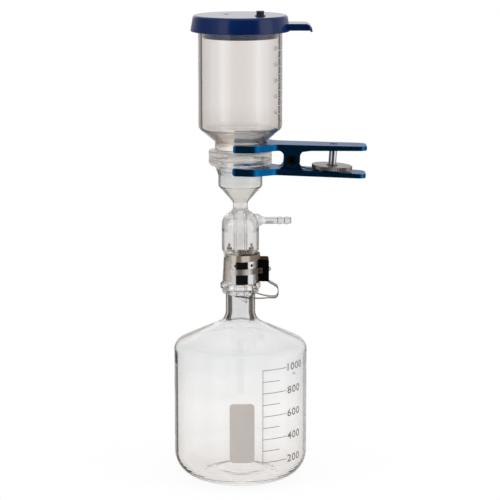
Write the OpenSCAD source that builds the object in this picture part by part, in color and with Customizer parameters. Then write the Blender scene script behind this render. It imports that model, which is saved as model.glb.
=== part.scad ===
// Vacuum filtration unit: a funnel clamped on a filter base, whose ground joint
// stands on the neck of a receiving bottle and is held there by a metal clip.
// Z is the bottle's axis, the bottle's foot stands on Z = 0, and the clamp points to +X.

/* [Bottle] */
// Outside diameter of the bottle
bottle_d = 117.2; // [104:0.2:130]
// Thickness of the bottle's glass
bottle_wall = 2.5; // [1.8:0.1:3]
// Height where the line of the wall meets the line of the shoulder
shoulder_h = 120.4; // [110:0.1:124]
// Slope of the shoulder, in degrees
shoulder_slope = 25; // [20:0.5:28]
// Rounding between wall and shoulder
shoulder_round = 9; // [6:0.5:18]
// Rounding between wall and base
heel_round = 23; // [16:0.5:26]
// Width of the flat ring that the bottle stands on
foot_w = 3; // [2:0.5:5]
// Height of the pushed-up middle of the base
push_up = 4; // [2:0.5:6]
// Outside diameter of the neck
neck_d = 26; // [24.6:0.2:26]
// Rounding between shoulder and neck
neck_round = 11; // [6:0.5:12]
// Height of the upper side of the collar on the neck
collar_h = 168.3; // [164:0.1:180]
// Diameter of the collar
collar_d = 32.4; // [31:0.2:33]
// Thickness of the collar
collar_t = 3.4; // [3:0.1:4.5]

/* [Ground joint] */
// Diameter of the ground cone at its wide end
joint_d = 29.2; // [29:0.1:29.4]
// Length of the ground cone
joint_len = 32; // [30:0.5:34]
// Growth of the diameter along the cone, in millimetres for each millimetre
joint_taper = 0.1; // [0.08:0.01:0.12]
// Space between the two ground cones
joint_gap = 0.05; // [0.02:0.01:0.1]

/* [Filter base] */
// Height of the base's mouth above the bottle's collar
mouth_gap = 0.3; // [0.2:0.1:1]
// Diameter of the thick lip round the mouth
lip_d = 35.4; // [34.8:0.2:37]
// Height of the thick lip
lip_h = 6.4; // [5.6:0.2:8]
// Outside diameter of the joint's sleeve just above the lip
skirt_low_d = 31.8; // [31.4:0.1:32]
// Outside diameter of the joint's sleeve at its top
skirt_top_d = 29; // [28.6:0.1:29.4]
// How much shorter the sleeve is than the ground cone inside it
skirt_short = 2.7; // [1:0.1:4]
// Outside diameter of the vacuum chamber
chamber_d = 32.8; // [31:0.1:34]
// Height of the chamber from its step to the corner of its dome
chamber_h = 27.7; // [24:0.1:34]
// Height of the sloping step between sleeve and chamber
chamber_step = 5.8; // [4.6:0.1:8]
// Rise of the chamber's dome from its corner to the stem
dome_h = 7; // [6:0.5:10]
// Rounding of the dome's corner
dome_round = 11; // [8:0.5:12]
// Thickness of the base's glass
base_wall = 1.9; // [1.6:0.1:2.2]
// Outside diameter of the stem between chamber and bowl
stem_d = 12.9; // [12.4:0.1:13.6]
// Length of that stem
stem_len = 6.4; // [4:0.2:8]
// Outside diameter of the drip tube inside the chamber
drip_d = 12.1; // [11.5:0.1:12.3]
// How far the drip tube's point reaches below the mouth
drip_reach = 12.6; // [8:0.2:18]
// Slope of the cut across the drip tube's end, in degrees
drip_cut = 32; // [20:1:45]
// Outside diameter of the bowl under the filter
bowl_d = 38.6; // [37:0.2:39]
// Height of the bowl's funnel
bowl_cone_h = 14.8; // [12:0.2:16]
// Height of the bowl's straight wall
bowl_len = 10; // [8:0.2:12]
// Diameter of the bowl's flare where it meets the flange
flare_d = 45; // [42.6:0.2:46]
// Height of the bowl's flare
flare_h = 7; // [5.4:0.2:9]
// Rise of the flange's underside from the flare to its edge
flange_rise = 2; // [1.6:0.2:4]
// Diameter of the two ground flanges
flange_d = 55.2; // [54:0.2:58]
// Thickness of the base's flange at its edge
base_flange_t = 4.7; // [4.4:0.1:5.6]

/* [Vacuum nozzle] */
// Depth of the nozzle below the dome's corner
nozzle_down = 2.8; // [2:0.1:8]
// Outside diameter of the nozzle's tube
nozzle_d = 6.2; // [5.8:0.1:6.6]
// Bore of the nozzle
nozzle_bore = 3.4; // [3:0.1:4]
// Reach of the nozzle from the bottle's axis
nozzle_reach = 44.4; // [42:0.1:48]
// Length of each of the two hose barbs
barb_len = 5.8; // [5:0.1:6.4]
// Diameter of a barb at its wide end
barb_d = 6.9; // [6.7:0.1:7.4]
// Diameter of a barb at its small end
barb_small_d = 5.2; // [4.8:0.1:5.6]
// Length of the level crest on each barb
barb_land = 1.2; // [0.8:0.1:1.6]
// Diameter of the weld where the nozzle leaves the chamber
weld_d = 12; // [9:0.2:13]
// Reach of the weld's flare along the nozzle
weld_len = 4.4; // [3:0.2:6]

/* [Filter support] */
// Diameter of the screen under the filter
screen_d = 42.4; // [40:0.2:44]
// Thickness of the screen
screen_t = 0.8; // [0.6:0.1:1.2]
// Diameter of the screen's holes
screen_hole_d = 2.4; // [1.8:0.1:2.8]
// Spacing of the screen's holes
screen_pitch = 4.4; // [4:0.1:5]
// Bore of the sealing ring on the screen
seal_bore = 35; // [33:0.5:36]
// Thickness of the sealing ring
seal_t = 0.6; // [0.5:0.1:1]
// Space round the screen and the ring in their recess
recess_gap = 0.2; // [0.1:0.05:0.4]

/* [Funnel] */
// Outside diameter of the funnel
funnel_d = 72.8; // [68:0.2:76]
// Thickness of the funnel's glass
funnel_wall = 2.6; // [2.2:0.1:3]
// Height of the funnel above the filter
funnel_h = 120.8; // [100:0.2:150]
// Outside diameter of the funnel's neck
funnel_neck_d = 44; // [43:0.2:45]
// Height of the neck's top above the filter
funnel_neck_h = 14.6; // [13:0.2:17]
// Slope of the funnel's cone, in degrees
funnel_slope = 40; // [35:1:45]
// Rounding between the funnel's wall and its cone
funnel_round = 6; // [3:0.5:9]
// Thickness of the funnel's flange at its edge
funnel_flange_t = 6.9; // [6:0.1:7]
// Rise of the flange's upper side from its edge to the neck
funnel_flange_rise = 1.5; // [0.8:0.1:1.6]
// Space between the two ground faces, where the filter lies
filter_gap = 0.3; // [0.1:0.1:0.6]

/* [Lid] */
// Thickness of the lid's top
lid_top_t = 3; // [2.4:0.1:4]
// Space between the root of the lid's skirt and the funnel
lid_skirt_gap = 2; // [1:0.1:4]
// How much the skirt widens towards its foot, on the radius
lid_skirt_flare = 2.4; // [1:0.1:4]
// Depth of the skirt below the lid's underside
lid_skirt_h = 10.9; // [9:0.1:14]
// Thickness of the skirt
lid_skirt_t = 2.2; // [1.6:0.1:2.4]
// Depth of the plug below the lid's underside
lid_plug_h = 16.4; // [12:0.2:20]
// Thickness of the plug's ring
lid_plug_t = 2.2; // [1.6:0.1:3]
// How much the plug narrows towards its foot, on the radius
lid_plug_taper = 0.9; // [0.4:0.1:1.5]
// Space between the plug and the funnel
lid_plug_gap = 0.3; // [0.2:0.05:0.5]
// Space between the lid's underside and the funnel's rim
lid_seat_gap = 0.1; // [0.05:0.05:0.3]
// Reach of the pull tab from the axis
tab_reach = 62; // [58:0.2:68]
// Width of the pull tab
tab_w = 26; // [22:0.5:30]
// Drop of the tab's upper side below the lid's top
tab_drop = 6.8; // [5:0.1:8]
// Thickness of the tab's plate and walls
tab_t = 2; // [1.6:0.1:2.4]
// How far the tab's plate stands out over its side walls
tab_overhang = 1.2; // [0.6:0.1:2]
// Bore of the two vents
vent_d = 5.6; // [5:0.1:6]
// Distance of the plugged vent from the axis
vent_r = 21.4; // [16:0.2:24]
// Direction of the plugged vent, in degrees
vent_turn = -37; // [-60:1:-20]
// Distance of the open vent from the axis
open_vent_r = 14; // [10:0.2:20]
// Direction of the open vent, in degrees
open_vent_turn = 150; // [120:1:200]
// Height of the vent plug's knob
knob_h = 4.4; // [3:0.1:6]
// Diameter of the vent plug's knob
knob_d = 6.6; // [6:0.1:8]
// Diameter of the vent plug's foot
knob_foot_d = 9.2; // [8.4:0.1:10.5]
// Number of ribs round the knob
knob_ribs = 10; // [6:1:12]

/* [Clamp] */
// Distance from the bottle's axis to the hinge pin
clamp_reach = 44.6; // [44:0.2:50]
// Distance from the hinge pin to the end of the handles
handle_len = 65; // [56:0.2:72]
// Reach of the jaws past the bottle's axis
jaw_past = 6.2; // [3:0.2:8]
// Outside width of the jaws
jaw_w = 59; // [58:0.5:64]
// Distance from the bottle's axis to where the jaws begin to narrow
jaw_shoulder = 13; // [10:0.5:16]
// Distance from the hinge pin to where the arm reaches the handle's width
arm_neck = 13.6; // [12.6:0.2:15]
// Width of the handles at the hinge
handle_w = 26.8; // [26:0.2:30]
// Width of the handles at their ends
handle_end_w = 24; // [20:0.5:25]
// Thickness of the jaws
jaw_t = 6.4; // [5.4:0.1:7]
// Thickness of the handles at their ends
handle_t = 3.8; // [3:0.1:4.2]
// Distance of each arm's inner face from the pin's axis
arm_rise = 8.2; // [8.1:0.05:8.6]
// Tilt of the upper arm, in degrees
upper_tilt = 0.3; // [0:0.1:0.6]
// Tilt of the lower arm, in degrees
lower_tilt = 3.8; // [3.4:0.1:4]
// Space between the jaws and the glass that they hold
jaw_gap = 0.15; // [0.1:0.05:0.3]
// Space between the jaws' slot and the funnel's neck
slot_gap = 1; // [0.6:0.1:1.4]
// Width of the hub along the handles
hub_w = 14; // [12:0.2:14.4]
// Thickness of each of the hub's four ears
ear_t = 4; // [3.5:0.1:4.2]
// Space between neighbouring ears
ear_gap = 0.3; // [0.2:0.05:0.4]
// Step from the handle's side in to the hub's side
hub_step = 0.4; // [0.3:0.05:0.8]
// Rounding between hub and arm
hub_round = 5; // [3:0.5:6]
// Diameter of the hinge pin
pin_d = 6; // [5:0.1:6.4]
// Bore in each end of the hinge pin
pin_bore = 3.8; // [3:0.1:4]
// Depth of that bore
pin_bore_depth = 7; // [4:0.5:9]
// Diameter of the hinge pin's heads
pin_head_d = 8.2; // [7.4:0.1:9]
// Thickness of the hinge pin's heads
pin_head_t = 0.9; // [0.6:0.1:1.2]
// Clearance on the radius of round parts that turn or slide
running_gap = 0.05; // [0.03:0.01:0.08]
// Diameter of the spring's wire
wire_d = 1.4; // [1.2:0.1:1.4]
// Whole turns in the spring's coil
spring_turns = 4; // [2:1:4]
// Space between the spring's coil and the hinge pin
coil_gap = 0.5; // [0.3:0.1:0.8]
// Reach of the spring's legs from the pin
spring_leg = 24; // [18:0.5:26]
// Distance from the pin to the bend where the lower leg meets its arm
spring_bend = 13; // [11:0.5:15]
// Space between the spring's legs and the arms
leg_gap = 0.1; // [0.05:0.05:0.2]

/* [Thumb screw] */
// Distance from the hinge pin to the stud
stud_x = 35.4; // [34:0.2:44]
// Diameter of the stud
stud_d = 6.8; // [6.2:0.1:7]
// Diameter of the boss that holds the stud
boss_d = 9.8; // [9:0.1:11]
// Height of the boss that holds the stud
boss_h = 1.2; // [1:0.1:1.4]
// Bore for the stud's end in the lower arm
stud_hole_d = 9.8; // [9.6:0.1:10.2]
// Shift of that bore towards the hinge pin
stud_hole_shift = 0.9; // [0.8:0.1:1]
// Diameter of the thumb disc's seat on the lower arm
seat_d = 13.8; // [12.8:0.2:15]
// Height of that seat
seat_h = 1.6; // [1.6:0.1:2]
// Diameter of the thumb disc
disc_d = 35.2; // [30:0.2:37]
// Thickness of the thumb disc
disc_t = 3; // [2.4:0.1:3.4]
// Space between the thumb disc and its seat
disc_gap = 0.1; // [0.05:0.05:0.2]
// Diameter of the disc's hub
disc_hub_d = 9.4; // [8.8:0.1:11]
// Height of the disc's hub
disc_hub_h = 0.9; // [0.6:0.1:1.2]
// Number of grooves in the disc's rim
disc_grooves = 72; // [48:4:96]
// Depth of the grooves
groove_t = 0.3; // [0.2:0.05:0.5]

/* [Joint clip] */
// Thickness of the clip's sheet metal
sheet_t = 0.8; // [0.6:0.1:0.9]
// Space between the clip's sleeve and the glass, on every side
sleeve_gap = 0.25; // [0.15:0.05:0.3]
// Height of the sleeve
sleeve_h = 25.2; // [24:0.2:26]
// Opening of the sleeve, in degrees of turn
sleeve_open = 128; // [120:2:150]
// Height of the raised band round the sleeve's top
band_h = 5.2; // [4:0.1:5.4]
// How far the band stands out
band_t = 0.4; // [0.2:0.05:0.6]
// Space between pieces of the clip that are riveted together
rivet_gap = 0.05; // [0.02:0.01:0.08]
// Width of the straps round the sleeve
strap_w = 4.8; // [4:0.1:6]
// Height of the straps' lower edge above the sleeve's foot
strap_up = 8.6; // [8:0.1:11]
// Turn of the straps from the bracket round the sleeve, in degrees
strap_turn = 119; // [100:1:122]
// Direction in which the straps leave the sleeve for the bracket, in degrees
strap_off = 34; // [32:1:38]
// Width of the bracket beside the sleeve
bracket_w = 15.6; // [14.4:0.2:17]
// Reach of the bracket from the bottle's axis
bracket_reach = 25; // [24:0.2:28]
// Height of the bracket
bracket_h = 19.6; // [18:0.2:20]
// Height of the bracket's foot above the sleeve's foot
bracket_up = 1.2; // [0.5:0.1:2]
// Rounding of the bracket's upper corner
bracket_round = 2; // [1.5:0.1:3]
// Diameter of the heads of the strap rivets
strap_rivet_d = 3.8; // [3.4:0.1:3.9]
// Height of those heads
strap_rivet_h = 1.1; // [0.8:0.1:1.4]
// Diameter of the head of the spring's rivet
spring_rivet_d = 4.6; // [4:0.1:5]
// Height of that head
spring_rivet_h = 1.8; // [1.2:0.1:2]
// Diameter of the shanks of those rivets
shank_d = 2; // [1.6:0.1:2]
// Distance of the strap rivets from the bottle's axis
strap_rivet_x = 17.5; // [17.5:0.1:17.9]
// Height of the spring's rivet above the bracket's foot
spring_rivet_up = 9.8; // [8:0.1:11]
// Diameter of the small rivets on the sleeve
stop_d = 2.6; // [1.8:0.1:2.8]
// Height of the small rivets above the sleeve's foot
stop_up = 16.6; // [15.6:0.1:17.6]
// Thickness of the fork spring
leaf_t = 0.7; // [0.5:0.05:0.8]
// Width of the fork spring's leaf
leaf_w = 10; // [8:0.2:12]
// Reach of the fork spring's loop from the bottle's axis
loop_reach = 33.4; // [31:0.2:36]
// Drop of the loop's outer corner below the bracket's foot
loop_drop = 6.1; // [5:0.1:7]
// Depth of the loop's lowest run below the bottle's collar
loop_low = 4; // [3:0.1:5]
// Rounding of the loop
loop_round = 3.8; // [2.5:0.1:4]
// Distance from the bottle's axis to where the leaf parts into two tines
fork_reach = 25; // [23:0.2:27]
// Width of each of the fork's two tines
tine_w = 3; // [2.4:0.1:3.6]
// Space between the tines and the bottle's neck
tine_gap = 0.6; // [0.4:0.1:1]
// Space between the tines and the collar that they pull on
tine_top_gap = 0.1; // [0.05:0.05:0.2]
// How far the tines reach past the bottle's axis
tine_past = 4.4; // [2:0.2:6]

/* [Hidden] */

$fn = 96;
// Largest turn between two points of a rounded corner, in degrees
arc_step = 8;
// How far a cutting body passes the face that it cuts
past = 1;

glass = [0.86, 0.89, 0.9, 0.4];
navy = [0.03, 0.13, 0.36];
anodised = [0.0, 0.25, 0.42];
steel = [0.75, 0.75, 0.74];

// ---- Outlines, as lists of [x, y, rounding] ----

function unit(v) = v / norm(v);
function xy(p) = [p.x, p.y];
function rounding(p) = len(p) > 2 ? p.z : 0;
function reversed(list) = [for (i = [len(list) - 1:-1:0]) list[i]];
function part_of(list, from, to) = [for (i = [from:to]) list[i]];
function mirrored(line) = [for (p = reversed(line)) [p.x, -p.y, rounding(p)]];

// The corner a-b-c rounded to the radius rad, as points from one tangent to the other
function corner(a, b, c, rad) =
    let (u = unit(a - b), v = unit(c - b), half = acos(max(-1, min(1, u * v))) / 2)
    rad <= 0 || half > 89.9 ? [b] :
    let (centre = b + unit(u + v) * rad / sin(half),
         p = b + u * rad / tan(half) - centre,
         q = b + v * rad / tan(half) - centre,
         from = atan2(p.y, p.x),
         turn = (atan2(q.y, q.x) - from + 540) % 360 - 180,
         steps = max(2, ceil(abs(turn) / arc_step)))
    [for (i = [0:steps]) centre + rad * [cos(from + turn * i / steps), sin(from + turn * i / steps)]];

// The points of an open line, with its inner corners rounded
function rounded_line(line) =
    let (last = len(line) - 1)
    [for (i = [0:last])
        each i == 0 || i == last ? [xy(line[i])]
             : corner(xy(line[i - 1]), xy(line[i]), xy(line[i + 1]), rounding(line[i]))];

// The points of a closed loop, with every corner rounded
function rounded_loop(line) =
    let (n = len(line))
    [for (i = [0:n - 1])
        each corner(xy(line[(i + n - 1) % n]), xy(line[i]), xy(line[(i + 1) % n]), rounding(line[i]))];

// An open line moved to its left by the distance t, with its roundings kept concentric
function left_of(a, b) = let (d = unit(b - a)) [-d.y, d.x];
function bend(a, b, c) = sign((b.x - a.x) * (c.y - b.y) - (b.y - a.y) * (c.x - b.x));
function moved(line, t) =
    let (last = len(line) - 1)
    [for (i = [0:last])
        let (p = xy(line[i]),
             a = xy(line[max(i - 1, 0)]),
             c = xy(line[min(i + 1, last)]),
             m = i == 0 ? left_of(p, c) : left_of(a, p),
             n = i == last ? m : left_of(p, c),
             shift = (m + n) / (1 + m * n),
             r = rounding(line[i]))
        [p.x + t * shift.x, p.y + t * shift.y, r > 0 ? max(0.1, r - bend(a, p, c) * t) : 0]];

// A strip of the thickness t along a middle line
function strip(line, t) =
    concat(rounded_line(moved(line, t / 2)), reversed(rounded_line(moved(line, -t / 2))));

// A closed loop revolved about Z
module turned(loop) {
    rotate_extrude()
        polygon(rounded_loop(loop));
}

// A flat shape in X and Z, drawn out along Y from y0 to y1
module across(y0, y1) {
    translate([0, y1, 0])
        rotate([90, 0, 0])
            linear_extrude(y1 - y0)
                children();
}

// A cylinder along Y from y0 to y1
module along_y(y0, y1, d) {
    translate([0, y0, 0])
        rotate([-90, 0, 0])
            cylinder(h = y1 - y0, d = d);
}

// The same shape on both sides of the XZ plane
module both_sides() {
    children();
    mirror([0, 1, 0])
        children();
}

// ---- Bottle ----

neck_r = neck_d / 2;
foot_r = bottle_d / 2 - heel_round;
under_collar_z = collar_h - collar_t;
cone_z = collar_h + 1;
cone_top_z = cone_z + joint_len;

function cone_r(z) = joint_d / 2 - (z - cone_z) * joint_taper / 2;

// Outside of the bottle from the middle of its base to the top of its neck
bottle_line = [
    [0, push_up],
    [foot_r * 0.55, push_up, 12],
    [foot_r - foot_w, 0, 3],
    [bottle_d / 2, 0, heel_round],
    [bottle_d / 2, shoulder_h, shoulder_round],
    [neck_r, shoulder_h + (bottle_d / 2 - neck_r) * tan(shoulder_slope), neck_round],
    [neck_r, cone_top_z, 0.8]];

// Blown in one piece, with a collar and the ground cone on its neck
module bottle() {
    collar = [
        [neck_r, under_collar_z, 1],
        [collar_d / 2, under_collar_z, 1.5],
        [collar_d / 2, collar_h, 1.4],
        [cone_r(cone_z), collar_h, 0.4],
        [cone_r(cone_z), cone_z],
        [cone_r(cone_top_z), cone_top_z, 0.8]];
    color(glass)
        turned(concat(part_of(bottle_line, 0, 5), collar, reversed(moved(bottle_line, bottle_wall))));
}

// ---- Filter base ----

mouth_z = collar_h + mouth_gap;
lip_top_z = mouth_z + lip_h;
skirt_top_z = cone_top_z - skirt_short;
chamber_z = skirt_top_z + chamber_step;
dome_z = chamber_z + chamber_h;
chamber_r = chamber_d / 2;
stem_r = stem_d / 2;
drip_r = drip_d / 2;
stem_z = dome_z + dome_h;
bowl_r = bowl_d / 2;
bowl_cone_z = stem_z + stem_len;
bowl_z = bowl_cone_z + bowl_cone_h;
flare_z = bowl_z + bowl_len + flare_h;
flange_r = flange_d / 2;
face_z = flare_z + flange_rise + base_flange_t;
drip_z = mouth_z - drip_reach;
nozzle_z = dome_z - nozzle_down;
dome_slope = atan(dome_h / (chamber_r - stem_r));
roof_z = stem_z - base_wall / cos(dome_slope) + (stem_r - drip_r) * tan(dome_slope);
recess_r = screen_d / 2 + recess_gap;
recess_z = face_z - screen_t - seal_t;

// Outside of the base from its ground face down to the stem
bowl_line = [
    [flange_r, face_z, 0.7],
    [flange_r, face_z - base_flange_t, 3.4],
    [flare_d / 2, flare_z, 2],
    [bowl_r, bowl_z + bowl_len, 8],
    [bowl_r, bowl_z, 4],
    [stem_r, bowl_cone_z, 3]];

// Outside of the base from the stem down to the sleeve of its joint
chamber_line = [
    [stem_r, stem_z, 4],
    [chamber_r, dome_z, dome_round],
    [chamber_r, chamber_z, 2],
    [skirt_top_d / 2, skirt_top_z, 2]];

// Inside of the chamber, from its roof down to the sleeve
chamber_inner = moved(chamber_line, -base_wall);

module base_body() {
    mouth_r = cone_r(mouth_z) + joint_gap;
    lip = [
        [skirt_low_d / 2, lip_top_z, 0.6],
        [lip_d / 2, lip_top_z, 2.4],
        [lip_d / 2, mouth_z, 2.4],
        [mouth_r, mouth_z, 0.3]];
    joint_and_chamber = [
        [cone_r(skirt_top_z) + joint_gap, skirt_top_z, 2],
        chamber_inner[2],
        chamber_inner[1],
        [drip_r, roof_z, 1]];
    bore = moved([[drip_r, drip_z], [drip_r, bowl_cone_z, 3], [bowl_r, bowl_z, 4], [bowl_r, recess_z]],
                 base_wall);
    turned(concat([[recess_r, face_z]], bowl_line, chamber_line, lip, joint_and_chamber,
                  [[drip_r, drip_z]], bore, [[recess_r, recess_z]]));
}

// Revolved about X: weld, tube and two barbs, up to the inside of the chamber
module nozzle_body() {
    inner_x = drip_r + 2;
    barbs_x = nozzle_reach - 2 * barb_len;
    tube_r = nozzle_d / 2;
    wide_r = barb_d / 2;
    small_r = barb_small_d / 2;
    crest = [0.5, 0.5 + barb_land];
    profile = [
        [0, inner_x],
        [weld_d / 2, inner_x],
        [weld_d / 2, chamber_r - 1, 1],
        [tube_r, chamber_r - 1 + weld_len, 5],
        [tube_r, barbs_x - 1.5, 1],
        [small_r, barbs_x - 0.5, 0.4],
        for (x = [barbs_x, barbs_x + barb_len])
            each [[wide_r, x + crest[0], 0.4],
                  [wide_r, x + crest[1], 0.4],
                  x == barbs_x ? [small_r, x + barb_len - 0.5, 0.4] : [small_r, nozzle_reach, 0.6]],
        [0, nozzle_reach]];
    difference() {
        translate([0, 0, nozzle_z])
            rotate([0, 90, 0])
                turned(profile);
        turned([[0, skirt_top_z], [chamber_inner[3].x, skirt_top_z], chamber_inner[2], chamber_inner[1],
                [drip_r, roof_z], [0, roof_z]]);
    }
}

// Fused in one piece of glass: flange, bowl, drip tube, chamber, joint and nozzle
module filter_base() {
    color(glass)
        difference() {
            union() {
                base_body();
                nozzle_body();
            }
            translate([chamber_r - base_wall - 3, 0, nozzle_z])
                rotate([0, 90, 0])
                    cylinder(h = nozzle_reach, d = nozzle_bore);
            translate([drip_r, 0, drip_z])
                rotate([0, drip_cut, 0])
                    translate([-3 * drip_d, -drip_d, -2 * drip_d])
                        cube([3 * drip_d, 2 * drip_d, 2 * drip_d]);
        }
}

// ---- Filter support ----

screen_z = recess_z + 0.05;
seal_z = screen_z + screen_t;

// Perforated disc, its holes in a hexagonal pattern inside the seal
module support_screen() {
    rings = floor((seal_bore / 2 - screen_hole_d) / screen_pitch);
    color(steel)
        difference() {
            translate([0, 0, screen_z])
                cylinder(h = screen_t, d = screen_d);
            for (i = [-rings:rings], j = [-rings:rings])
                if (abs(i + j) <= rings)
                    translate([(i + j / 2) * screen_pitch, j * sqrt(3) / 2 * screen_pitch, screen_z - past])
                        cylinder(h = screen_t + 2 * past, d = screen_hole_d, $fn = 24);
        }
}

module screen_seal() {
    color([0.95, 0.95, 0.93])
        translate([0, 0, seal_z])
            difference() {
                cylinder(h = seal_t, d = screen_d);
                translate([0, 0, -past])
                    cylinder(h = seal_t + 2 * past, d = seal_bore);
            }
}

// ---- Funnel ----

funnel_z = face_z + filter_gap;
funnel_r = funnel_d / 2;
funnel_neck_r = funnel_neck_d / 2;
funnel_bore_r = funnel_r - funnel_wall;
funnel_neck_z = funnel_z + funnel_neck_h;
rim_z = funnel_z + funnel_h;

// Outside of the funnel from its ground face up to its rim
funnel_line = [
    [flange_r, funnel_z, 0.7],
    [flange_r, funnel_z + funnel_flange_t, 1.2],
    [funnel_neck_r, funnel_z + funnel_flange_t + funnel_flange_rise, 1],
    [funnel_neck_r, funnel_neck_z, 2.5],
    [funnel_r, funnel_neck_z + (funnel_r - funnel_neck_r) * tan(funnel_slope), funnel_round],
    [funnel_r, rim_z, 1.2]];

module funnel() {
    inner = moved(part_of(funnel_line, 2, 5), funnel_wall);
    color(glass)
        turned(concat([[seal_bore / 2, funnel_z]], funnel_line, reversed(inner),
                      [[seal_bore / 2, funnel_z + funnel_flange_t / 2, 1]]));
}

// ---- Lid ----

lid_z = rim_z + lid_seat_gap;
lid_top_z = lid_z + lid_top_t;
skirt_z = lid_z - lid_skirt_h;
lid_top_r = funnel_d / 2 + lid_skirt_gap + lid_skirt_t;
lid_foot_r = lid_top_r + lid_skirt_flare;
plug_r = funnel_bore_r - lid_plug_gap;
plug_foot_z = lid_z - lid_plug_h;

module lid_body() {
    turned([
        [0, lid_z],
        [plug_r - lid_plug_t, lid_z, 1],
        [plug_r - lid_plug_taper - lid_plug_t, plug_foot_z, 0.8],
        [plug_r - lid_plug_taper, plug_foot_z, 1],
        [plug_r, lid_z - lid_plug_t, 0.8],
        [plug_r, lid_z],
        [lid_top_r - lid_skirt_t, lid_z, 1],
        [lid_foot_r - lid_skirt_t, skirt_z, 0.6],
        [lid_foot_r, skirt_z, 0.8],
        [lid_top_r, lid_top_z, 2.4],
        [0, lid_top_z]]);
}

// Pull tab: a plate that curves down at its end, over a box open below
module lid_tab() {
    tab_z = lid_top_z - tab_drop;
    root_r = (lid_top_r + lid_foot_r) / 2 - lid_skirt_t / 4;
    wall_y = tab_w / 2 - tab_overhang;
    edge = [[0, tab_z], [tab_reach - 1.6, tab_z, 6], [tab_reach, skirt_z + 0.4]];
    difference() {
        intersection() {
            union() {
                across(-tab_w / 2, tab_w / 2)
                    polygon(strip(moved(edge, -tab_t / 2), tab_t));
                both_sides()
                    across(wall_y - tab_t, wall_y)
                        polygon([[0, tab_z - tab_t / 2], [tab_reach - tab_t, tab_z - tab_t],
                                 [tab_reach - tab_t / 2, skirt_z + 1.2], [0, skirt_z + 1.2]]);
            }
            translate([0, 0, skirt_z])
                linear_extrude(lid_top_z - skirt_z)
                    polygon(rounded_loop([[0, -tab_w / 2], [tab_reach + past, -tab_w / 2, 6],
                                          [tab_reach + past, tab_w / 2, 6], [0, tab_w / 2]]));
        }
        translate([0, 0, skirt_z - past])
            cylinder(h = lid_top_z - skirt_z, r = root_r);
    }
}

module at_vent(distance, turn) {
    rotate([0, 0, turn])
        translate([distance, 0, lid_top_z])
            children();
}

module lid() {
    color(navy)
        difference() {
            union() {
                lid_body();
                lid_tab();
            }
            at_vent(vent_r, vent_turn)
                translate([0, 0, -lid_top_t - past])
                    cylinder(h = lid_top_t + 2 * past, d = vent_d);
            at_vent(open_vent_r, open_vent_turn)
                translate([0, 0, -lid_top_t - past])
                    cylinder(h = lid_top_t + 2 * past, d = vent_d);
        }
}

// Ribbed plug pressed into the nearer vent
module lid_vent_plug() {
    foot_t = 0.8;
    rib_d = 1.1;
    lift = 0.02;
    color(navy)
        at_vent(vent_r, vent_turn) {
            translate([0, 0, -lid_top_t - 0.5])
                cylinder(h = lid_top_t + 1, r = vent_d / 2 - running_gap);
            translate([0, 0, lift])
                cylinder(h = foot_t, d = knob_foot_d);
            translate([0, 0, foot_t / 2])
                cylinder(h = knob_h - foot_t / 2, d = knob_d - rib_d);
            translate([0, 0, knob_h - foot_t])
                cylinder(h = foot_t, d = knob_d);
            for (i = [0:knob_ribs - 1])
                rotate([0, 0, 360 * i / knob_ribs])
                    translate([(knob_d - rib_d) / 2, 0, foot_t / 2])
                        cylinder(h = knob_h - foot_t, d = rib_d, $fn = 16);
        }
}

// ---- Clamp, in a frame with its origin on the hinge pin's axis ----

clamp_z = (face_z + funnel_z) / 2;
jaw_x = -clamp_reach - jaw_past;
slot_r = funnel_neck_r + slot_gap;
hub_y = handle_w / 2 - hub_step;
lug_y = hub_y - ear_t - ear_gap;

module at_hinge(tilt) {
    translate([clamp_reach, 0, clamp_z])
        rotate([0, tilt, 0])
            children();
}

module arm_plan() {
    half = [
        [jaw_x, jaw_w / 2, 2.5],
        [jaw_shoulder - clamp_reach, jaw_w / 2, 14],
        [-arm_neck, handle_w / 2, 10],
        [handle_len, handle_end_w / 2, 7]];
    difference() {
        polygon(rounded_loop(concat(half, mirrored(half))));
        translate([-clamp_reach, 0])
            circle(r = slot_r);
        translate([-clamp_reach - 2 * slot_r, -slot_r])
            square([2 * slot_r, 2 * slot_r]);
    }
}

// The arm's plate, with its inner face towards the pin
module arm_plate() {
    intersection() {
        across(-jaw_w, jaw_w)
            polygon(rounded_loop([
                [jaw_x, arm_rise, 2],
                [handle_len, arm_rise, 1],
                [handle_len, arm_rise + handle_t, 1.2],
                [jaw_x, arm_rise + jaw_t, 2.5]]));
        linear_extrude(arm_rise + 2 * jaw_t)
            arm_plan();
    }
}

// A pair of ears round the pin, each with its outer side at y and its root in the arm's plate
module ears(y) {
    half_w = hub_w / 2;
    root_x = half_w + hub_round + 0.5;
    both_sides()
        across(y - ear_t, y)
            polygon(rounded_loop([
                [-root_x, arm_rise + handle_t / 2],
                [-root_x, arm_rise],
                [-half_w, arm_rise, hub_round],
                [-half_w, -half_w, half_w - 0.01],
                [half_w, -half_w, half_w - 0.01],
                [half_w, arm_rise, hub_round],
                [root_x, arm_rise],
                [root_x, arm_rise + handle_t / 2]]));
}

// The outside of the glass that a jaw holds, grown by the jaw's clearance
module funnel_seat() {
    turned(concat([[0, funnel_z]], moved(part_of(funnel_line, 0, 3), -jaw_gap), [[0, funnel_neck_z]]));
}

module base_seat() {
    turned(concat([[0, face_z]], moved(part_of(bowl_line, 0, 4), jaw_gap), [[0, bowl_z]]));
}

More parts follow.
